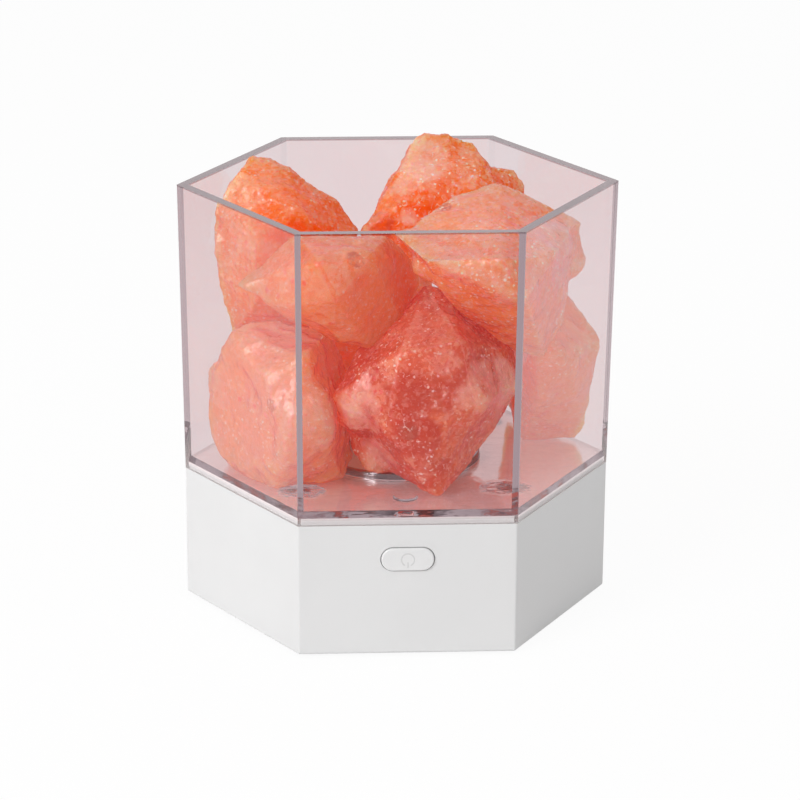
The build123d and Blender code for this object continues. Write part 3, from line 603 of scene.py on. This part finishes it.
# chips: how many thin caps are broken off the CAD lump; chipDepth: the deepest of them, in mm
# grow, swell, ridge and grit: growth of the skin, depth of its waves, ridges and grit, in mm
# pushes: a place on the skin, how far it moves, and how far round it the skin follows, in mm
# cores, crusts and marks: where the deep colour, a pale crust or a dark stain shows,
# how far round, in mm, and how strongly; some crusts are painted light and a mark painted shade
# the other numbers: how strongly an effect of the salt shows on this lump
lumps = {
    "saltFrontLeft": dict(
        node="salt_front_left", body="tub", slot="salt_peach", tone="blush", seed=3, chips=40,
        chipDepth=0.7, grow=0.2, swell=3.4, ridge=0.4, grit=0.35, frost=0.35, marble=0.25,
        veins=0.2, glints=0.5, stain=0.15, facets=0.25, grain=0.25, under=0.1,
        pushes=[((-19, -32, 56), (1.5, -3.5, 0), 11)],
        cores=[((-19, -30, 48), 6, 0.6)],
        # the crust at (-19, -35, 57) is painted light on the flank that lies in shade
        crustsAndPaintedLight=[((-44, -12, 60), 8, 0.2), ((-19, -35, 57), 8, 0.4)],
        marks=[((-31, -33, 60), 2, 0.6)]),
    "saltFrontMiddle": dict(
        node="salt_front_middle", body="tub", slot="salt_red", tone="red", seed=5, chips=30,
        chipDepth=0.5, grow=0.2, swell=1.5, ridge=0.3, grit=0.4, frost=0.25, marble=0.12,
        veins=0.1, glints=0.8, stain=0.2, facets=0.4, grain=0.3, under=0.2,
        pushes=[((-8.0, -20.5, 43.5), (-1.0, -3.5, -3.0), 8),
                ((18, -34, 61), (1.5, -3.0, 0), 11)],
        cores=[((0, -40, 64), 8, 0.8), ((2, -40, 54), 8, 0.9), ((6, -35, 44), 6, 0.4),
               ((9, -38, 64), 5, 0.6)],
        # the crust at (24, -25, 62) is a pale crust and also painted light on the right side in
        # shade
        crustsAndPaintedLight=[((-11, -33, 58), 7, 0.75), ((17, -34, 64), 8, 0.6), ((24, -25, 62), 8, 0.8),
                ((9, -37, 72), 4, 0.3), ((-6, -27, 45), 6, 0.4)],
        marks=[((0, -40, 55), 3, 0.6)]),
    "saltRight": dict(
        node="salt_right", body="tub", slot="salt_pale", tone="pale", seed=8, chips=40,
        chipDepth=0.6, grow=0.2, swell=2.5, ridge=0.2, grit=0.35, frost=0.35, marble=0.25,
        veins=0.1, glints=0.6, stain=0.05, facets=0.3, grain=0.25, under=0.3,
        pushes=[], cores=[], marks=[],
        # the crust at (29.5, 30, 46) is painted light on the lower left side, which lies in shade
        crustsAndPaintedLight=[((40, -4, 66), 7, 0.4), ((29.5, 30, 46), 14, 1.0)]),
    "saltRearLeft": dict(
        node="salt_rear_left", body="tub", slot="salt_peach", tone="peach", seed=13, chips=40,
        chipDepth=1.0, grow=0.2, swell=2.5, ridge=0.28, grit=0.25, frost=0.5, marble=0.25,
        veins=0.1, glints=0.5, stain=0.3, facets=0.4, grain=0.4, under=0.4,
        pushes=[], cores=[], crustsAndPaintedLight=[], marks=[]),
    "saltMiddleLeft": dict(
        node="salt_middle_left", body="lump_middle_left", slot="salt_orange", tone="glassy",
        seed=17, chips=25, chipDepth=0.4, grow=0.3, swell=1.8, ridge=0.15, grit=0.2, frost=0.3,
        marble=0.25, veins=0.2, glints=0.4, stain=0.2, facets=0.5, grain=0.3, under=0.3,
        pushes=[((-12.9, -24.0, 70.3), (0, 0, 2.0), 6), ((-36, -21.8, 87.5), (-2.5, 0, -0.5), 6)],
        cores=[((-12, -33, 84), 10, 0.4), ((-38, -22, 87), 5, 0.5)],
        crustsAndPaintedLight=[((-34, -22, 86), 7, 0.2)],
        marks=[((-12, -33, 96), 2.5, 0.7)]),
    "saltTopRight": dict(
        node="salt_top_right", body="lump_top_right", slot="salt_peach", tone="peach", seed=19,
        chips=30, chipDepth=0.6, grow=0.0, swell=2.2, ridge=0.12, grit=0.35, frost=0.6,
        marble=0.25, veins=0.1, glints=0.8, stain=0.05, facets=0.3, grain=0.4, under=0.75,
        pushes=[((-0.5, -23.6, 98.0), (-1.8, 0, 1.5), 6), ((4.5, -26, 91), (-2.5, 0, -1.0), 6),
                ((43, -4, 86), (2.2, 0, -2.0), 6), ((35, -6, 72), (2.8, 0, 0), 9)],
        cores=[((18, -20, 76), 9, 0.6), ((25, -14, 68), 8, 0.6), ((12, -12, 104), 12, 0.4),
               ((-2, -26, 97), 5, 0.5)],
        crustsAndPaintedLight=[((12, -39, 96), 8, 0.4), ((24, -37, 92), 8, 0.35), ((38, -19, 94), 11, 0.8)],
        marks=[((10, -13, 103), 2.5, 0.8)]),
    "saltTopLeft": dict(
        node="salt_top_left", body="lump_top_left", slot="salt_orange", tone="orange", seed=23,
        chips=40, chipDepth=0.6, grow=0.0, swell=2.5, ridge=0.45, grit=0.7, frost=0.5,
        marble=0.35, veins=0.1, glints=0.5, stain=0.1, facets=0.4, grain=0.3, under=0.2,
        pushes=[], marks=[],
        cores=[((-27, -5, 102), 9, 0.7), ((-17, -3, 99), 8, 0.7)],
        crustsAndPaintedLight=[((-39, -2, 103), 7, 0.5), ((-39, -5, 90), 11, 0.35)]),
    "saltTopBack": dict(
        node="salt_top_back", body="lump_top_back", slot="salt_orange", tone="orange", seed=29,
        chips=40, chipDepth=0.6, grow=0.0, swell=2.5, ridge=0.5, grit=0.7, frost=0.8, marble=0.4,
        veins=0.1, glints=0.9, stain=0.4, facets=0.4, grain=0.4, under=0.8,
        pushes=[((-7.0, 2.9, 92.5), (-1.5, 0, 0.3), 5)],
        cores=[((6, 8, 101), 9, 0.6)],
        crustsAndPaintedLight=[((7, 15, 108), 8, 0.85), ((2, 10, 103), 4, 0.7), ((3, 5, 96), 2.5, 1.0)],
        # this mark is painted shade on the lower front, which lies in shade
        marks=[((-4, 4, 94), 4, 0.6)]),
}
# the room inside the tub: how far its walls stand from the axis, at the tub's foot and at its rim
roomValues = {
    "footHeight": 33.5 * mm, "rimHeight": 105.9 * mm, "footReach": 42.97 * mm,
    "rimReach": 44.27 * mm, "floor": 36.8 * mm, "ringRadius": 20.5 * mm, "ringTop": 38.3 * mm,
    "clear": 0.12 * mm, "walls": 6, "firstWall": 30,
}
saltMesh = {
    "merge": 0.01 * mm, "flatWithin": 1, "chipPower": 1.5, "voxel": 0.42 * mm,
    "swellSize": 13 * mm, "swellMiddle": 0.5, "ridgeSize": 7 * mm, "ridgeMiddle": 0.5,
    "ridgeOctaves": 4.0, "gritSize": 1.6 * mm, "gritMiddle": 0.4,
}
saltValues = {
    "radius": (1.0, 0.35, 0.15), "scale": 30.0 * mm, "ior": 1.54, "bump": 0.3 * mm,
    "shadowShare": 0.7, "shadowTint": (1.0, 0.66, 0.52), "letThrough": 0.12,
    "edgeBlend": 0.4, "edges": (0.3, 0.9), "seedStep": 0.01,
}


def nearPlaces(tree, point, places):
    # the strongest share of any of these ragged balls
    share = 0.0
    for place, size, strength in places:
        ball = {"Vector": point, "Place": Vector(place) * mm, "Size": size * mm}
        spot = useGroup(tree, raggedSpot, ball)
        here = calc(tree, "MULTIPLY", spot["Share"], strength)
        share = calc(tree, "MAXIMUM", here, share)
    return share


def makeSaltMaterial(name, look, values):
    material, tree, shader, out = newMaterial(
        name,
        IOR=values["ior"],
        Subsurface_Weight=1.0,
        Subsurface_Radius=values["radius"],
        Subsurface_Scale=values["scale"],
    )
    point = objectPoint(tree)
    tone = saltTones[look["tone"]]
    sockets = {label.title(): opaque(tone[label]) for label in ("pale", "body", "deep")}
    shares = ("frost", "marble", "veins", "glints", "stain", "facets", "under", "grain")
    sockets.update({label.title(): look[label] for label in shares})
    sockets["Core"] = nearPlaces(tree, point, look["cores"])
    sockets["CrustAndPaintedLight"] = nearPlaces(tree, point, look["crustsAndPaintedLight"])
    sockets["Mark"] = nearPlaces(tree, point, look["marks"])
    edge = put(tree, "LayerWeight", {"Blend": values["edgeBlend"]}).outputs["Facing"]
    sockets["Edge"] = ramp(tree, edge, *values["edges"])
    # each lump shows another part of the same pattern
    seed = look["seed"]
    shift = (values["seedStep"] * seed, 0, 0)
    placed = {"Vector": point, "Location": shift, "Rotation": (seed, 2.0 * seed, 3.0 * seed)}
    sockets["Vector"] = put(tree, "Mapping", placed).outputs[0]
    salt = useGroup(tree, brokenSalt, sockets)
    join(tree, salt["Colour"], shader.inputs["Base Color"])
    join(tree, salt["Roughness"], shader.inputs["Roughness"])
    addBump(tree, shader, salt["Height"], values["bump"], salt["Normal"])
    # light from behind comes through, and part of it goes on to what lies beyond
    glow = put(tree, "BsdfTranslucent", {0: salt["Colour"]}).outputs[0]
    body = put(tree, "MixShader", {0: values["letThrough"], 1: shader.outputs[0], 2: glow})
    through = calc(tree, "MULTIPLY", lightPasses(tree)[1], values["shadowShare"])
    clear = put(tree, "BsdfTransparent", {0: opaque(values["shadowTint"])})
    mixed = put(tree, "MixShader", {0: through, 1: body.outputs[0], 2: clear.outputs[0]})
    join(tree, mixed.outputs[0], out.inputs[0])
    return material


def relief(name, kind, size, **settings):
    texture = bpy.data.textures.new(name, kind)
    texture.noise_scale = size
    for key, value in settings.items():
        setattr(texture, key, value)
    return texture


swellTexture = relief("swell", "CLOUDS", saltMesh["swellSize"], noise_depth=2)
ridgeTexture = relief("ridges", "MUSGRAVE", saltMesh["ridgeSize"],
                      musgrave_type="RIDGED_MULTIFRACTAL", octaves=saltMesh["ridgeOctaves"])
gritTexture = relief("grit", "CLOUDS", saltMesh["gritSize"],
                     noise_depth=2, noise_basis="VORONOI_F2_F1")


def pushOut(lump, texture, depth, middle):
    if depth == 0:
        return
    push = lump.modifiers.new("push", "DISPLACE")
    push.texture = texture
    push.texture_coords = "LOCAL"
    push.strength = depth * mm
    push.mid_level = middle
    bpy.ops.object.modifier_apply(modifier=push.name)


def pushSkin(lump, place, offset, reach):
    # moves the skin's nearest point, and what lies round it less and less
    place = Vector(place) * mm
    nearest = min(lump.data.vertices, key=lambda corner: (corner.co - place).length_squared)
    for corner in lump.data.vertices:
        corner.select = corner == nearest
    bpy.ops.object.mode_set(mode="EDIT")
    bpy.ops.transform.translate(value=Vector(offset) * mm, use_proportional_edit=True,
                                proportional_edit_falloff="SMOOTH", proportional_size=reach * mm)
    bpy.ops.mesh.select_all(action="DESELECT")
    bpy.ops.object.mode_set(mode="OBJECT")


def breakChips(lump, look, draw):
    # cuts off the furthest thin cap in one drawn direction after another
    for chip in range(look["chips"]):
        away = Vector([draw.gauss(0, 1) for axis in range(3)]).normalized()
        depth = look["chipDepth"] * mm * draw.random() ** saltMesh["chipPower"]
        lump.update_from_editmode()
        furthest = max(corner.co.dot(away) for corner in lump.data.vertices)
        bpy.ops.mesh.select_all(action="SELECT")
        bpy.ops.mesh.bisect(plane_co=away * (furthest - depth), plane_no=away,
                            use_fill=True, clear_outer=True)


def keepInRoom(lump, room):
    # flattens what would stand in the tub's walls, its floor or the ring
    height = room["rimHeight"] - room["footHeight"]
    slope = (room["rimReach"] - room["footReach"]) / height
    turn = 360 / room["walls"]
    angles = [radians(room["firstWall"] + turn * side) for side in range(room["walls"])]
    walls = [Vector((cos(angle), sin(angle), 0)) for angle in angles]
    for corner in lump.data.vertices:
        place = corner.co
        reach = room["footReach"] + slope * (place.z - room["footHeight"]) - room["clear"]
        for wall in walls:
            over = place.dot(wall) - reach
            if over > 0:
                place = place - wall * over
        overRing = place.xy.length < room["ringRadius"] + room["clear"]
        low = room["ringTop"] if overRing else room["floor"]
        place.z = max(place.z, low + room["clear"])
        corner.co = place


def makeLump(name, look):
    source = nodes[look["node"]]
    lump = bpy.data.objects.new(name, source.data.copy())
    bpy.context.scene.collection.objects.link(lump)
    bpy.ops.object.select_all(action="DESELECT")
    lump.select_set(True)
    bpy.context.view_layer.objects.active = lump
    bpy.ops.object.mode_set(mode="EDIT")
    bpy.ops.mesh.select_all(action="SELECT")
    bpy.ops.mesh.remove_doubles(threshold=saltMesh["merge"])
    bpy.ops.mesh.dissolve_limited(angle_limit=radians(saltMesh["flatWithin"]))
    breakChips(lump, look, random.Random(look["seed"]))
    bpy.ops.object.mode_set(mode="OBJECT")
    lump.data.remesh_voxel_size = saltMesh["voxel"]
    bpy.ops.object.voxel_remesh()
    for place, offset, reach in look["pushes"]:
        pushSkin(lump, place, offset, reach)
    pushOut(lump, None, look["grow"], 0.0)
    pushOut(lump, swellTexture, look["swell"], saltMesh["swellMiddle"])
    pushOut(lump, ridgeTexture, look["ridge"], saltMesh["ridgeMiddle"])
    pushOut(lump, gritTexture, look["grit"], saltMesh["gritMiddle"])
    keepInRoom(lump, roomValues)
    bpy.ops.object.shade_smooth()
    lump.data.materials.clear()
    lump.data.materials.append(makeSaltMaterial(name, look, saltValues))
    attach(lump, look["body"])
    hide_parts(look["node"])
    return lump


for name, look in lumps.items():
    made = makeLump(name, look)
    print(name, len(made.data.polygons), "faces")

# power sign on the button: a ring open below, and a line down through the opening
signValues = {
    "radius": 1.55 * mm, "line": 0.32 * mm, "proud": 0.03 * mm, "opening": 58.0,
    "strokeTop": -0.6 * mm, "strokeFoot": -2.05 * mm, "ringSteps": 80, "lineSteps": 10,
    "endSides": 12, "roundShare": 0.8, "roundSteps": 4,
    "colour": (0.63, 0.63, 0.63), "shade": (0.6, 0.6, 0.6), "gloss": 0.35,
    "size": 2600, "depth": 0.004,
}


def makeSign(values):
    low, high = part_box("power_button")
    face = low[1]
    height = (low[2] + high[2]) / 2
    line = values["line"]
    half = line / 2
    bpy.ops.object.select_all(action="DESELECT")
    bpy.ops.mesh.primitive_torus_add(
        location=(0, face, height), rotation=(radians(90), 0, 0),
        major_segments=values["ringSteps"], minor_segments=values["lineSteps"],
        major_radius=values["radius"], minor_radius=half)
    ring = bpy.context.object
    bpy.ops.object.transform_apply(location=True, rotation=True, scale=True)
    bpy.ops.object.mode_set(mode="EDIT")
    bpy.ops.mesh.select_mode(type="VERT")
    bpy.ops.mesh.select_all(action="DESELECT")
    bpy.ops.object.mode_set(mode="OBJECT")
    for corner in ring.data.vertices:
        across, down = corner.co.x, height - corner.co.z
        reach = down * sin(radians(values["opening"] / 2))
        corner.select = down > 0 and abs(across) < reach
    bpy.ops.object.mode_set(mode="EDIT")
    bpy.ops.mesh.delete(type="VERT")
    bpy.ops.mesh.select_non_manifold()
    bpy.ops.mesh.fill_holes(sides=values["endSides"])
    bpy.ops.object.mode_set(mode="OBJECT")
    middle = height + (values["strokeTop"] + values["strokeFoot"]) / 2
    length = values["strokeTop"] - values["strokeFoot"]
    bpy.ops.object.select_all(action="DESELECT")
    bpy.ops.mesh.primitive_cube_add(size=1, location=(0, face, middle), scale=(line, line, length))
    bpy.ops.object.transform_apply(location=True, rotation=True, scale=True)
    bpy.ops.object.mode_set(mode="EDIT")
    bpy.ops.mesh.select_all(action="SELECT")
    bpy.ops.mesh.bevel(offset=half * values["roundShare"], segments=values["roundSteps"])
    bpy.ops.object.mode_set(mode="OBJECT")
    ring.select_set(True)
    bpy.context.view_layer.objects.active = ring
    bpy.ops.object.join()
    bpy.ops.object.mode_set(mode="EDIT")
    bpy.ops.mesh.select_all(action="SELECT")
    flat = (1, values["proud"] / half, 1)
    bpy.ops.transform.resize(value=flat, center_override=(0, face, height))
    bpy.ops.mesh.normals_make_consistent(inside=False)
    bpy.ops.object.mode_set(mode="OBJECT")
    bpy.ops.object.transform_apply(location=True, rotation=True, scale=True)
    ring.name = "powerSign"
    ring.data.materials.append(makeFinish("signPrint", values, 0.0))
    bpy.ops.object.shade_smooth()
    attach(ring, "button")
    print("power sign made")


makeSign(signValues)

# the studio: a white surround that is pale grey on the camera's side, a white floor, softboxes
# whiteFrom and greyFrom: directions, from straight behind the lamp; floorWhite to sideGrey: metres
studioValues = {
    "ambient": 0.57,
    "seenWhite": (1.0, 1.0, 1.0),
    "seenThroughGlass": (0.83, 0.74, 0.755),
    "seenFront": (0.30, 0.25, 0.27),
    "whiteFrom": 0.92,
    "greyFrom": 0.7,
    "floorWhite": 0.02,
    "floorGrey": -0.12,
    "sideWhite": 0.25,
    "sideGrey": 0.6,
    "floorSize": 6.0,
    "floorShare": 0.06,
    "floorMatt": (0.88, 0.88, 0.88),
    "mattBounces": 8,
    "clearBounces": 16,
}
softboxes = {
    "keySoftbox": dict(place=(-0.85, -0.85, 0.75), size=0.55, power=11.2),
    "topSoftbox": dict(place=(0.1, 0.1, 1.3), size=0.5, power=1.6),
    "rightSoftbox": dict(place=(1.2, -0.5, 0.6), size=0.25, power=0.6),
}


def whereSeen(tree):
    # seen: 1 for what the camera sees, straight or by glass and metal, 0 for light on the object
    path = put(tree, "LightPath").outputs
    bent = calc(tree, "MAXIMUM", path["Is Glossy Ray"], path["Is Transmission Ray"])
    seen = calc(tree, "MAXIMUM", path["Is Camera Ray"], bent)
    seen = calc(tree, "MULTIPLY", seen, beforeMatt(tree, path))
    return seen, path["Is Transmission Ray"], bent


def seenColour(tree, values, through, bent, front):
    # white as it stands behind the lamp, grey as it stands on the camera's side
    straight, byGlass = opaque(values["seenWhite"]), opaque(values["seenThroughGlass"])
    colour = blend(tree, through, straight, byGlass)
    share = calc(tree, "MULTIPLY", bent, front)
    return blend(tree, share, colour, opaque(values["seenFront"]))


def makeWorld(values):
    world = bpy.data.worlds.new("studio")
    bpy.context.scene.world = world
    world.use_nodes = True
    tree = world.node_tree
    tree.nodes.clear()
    seen, through, bent = whereSeen(tree)
    along = put(tree, "SeparateXYZ", {0: objectPoint(tree)}).outputs[1]
    front = ramp(tree, along, values["whiteFrom"], values["greyFrom"])
    lit = put(tree, "Background", {0: white, 1: values["ambient"]})
    shown = put(tree, "Background", {0: seenColour(tree, values, through, bent, front), 1: 1.0})
    mixed = put(tree, "MixShader", {0: seen, 1: lit.outputs[0], 2: shown.outputs[0]})
    put(tree, "OutputWorld", {"Surface": mixed.outputs[0]})


def makeFloor(values):
    bpy.ops.object.select_all(action="DESELECT")
    bpy.ops.mesh.primitive_plane_add(size=values["floorSize"], location=(0, 0, 0))
    floor = bpy.context.object
    floor.name = "floor"
    material = bpy.data.materials.new("floor")
    material.use_nodes = True
    tree = material.node_tree
    tree.nodes.clear()
    seen, through, bent = whereSeen(tree)
    place = put(tree, "SeparateXYZ", {0: objectPoint(tree)}).outputs
    front = ramp(tree, place[1], values["floorWhite"], values["floorGrey"])
    side = calc(tree, "ABSOLUTE", place[0])
    side = ramp(tree, side, values["sideWhite"], values["sideGrey"])
    front = calc(tree, "MAXIMUM", front, side)
    matt = put(tree, "BsdfDiffuse", {0: opaque(values["floorMatt"])})
    shown = put(tree, "Emission", {0: seenColour(tree, values, through, bent, front), 1: 1.0})
    share = calc(tree, "MULTIPLY", seen, 1.0 - values["floorShare"])
    mixed = put(tree, "MixShader", {0: share, 1: matt.outputs[0], 2: shown.outputs[0]})
    put(tree, "OutputMaterial", {"Surface": mixed.outputs[0]})
    floor.data.materials.append(material)


def makeSoftbox(name, values):
    light = bpy.data.lights.new(name, "AREA")
    light.shape = "SQUARE"
    light.size = values["size"]
    light.energy = values["power"]
    lamp = bpy.data.objects.new(name, light)
    bpy.context.scene.collection.objects.link(lamp)
    lamp.location = values["place"]
    aim = Vector(cameraValues["target"]) - Vector(values["place"])
    lamp.rotation_mode = "QUATERNION"
    lamp.rotation_quaternion = aim.to_track_quat("-Z", "Y")


makeWorld(studioValues)
makeFloor(studioValues)
for name, values in softboxes.items():
    makeSoftbox(name, values)
bpy.context.scene.view_settings.view_transform = "Standard"
# light bounces often between the salt's faces, so its shaded sides stay bright
bpy.context.scene.cycles.diffuse_bounces = studioValues["mattBounces"]
bpy.context.scene.cycles.transparent_max_bounces = studioValues["clearBounces"]
print("studio made")
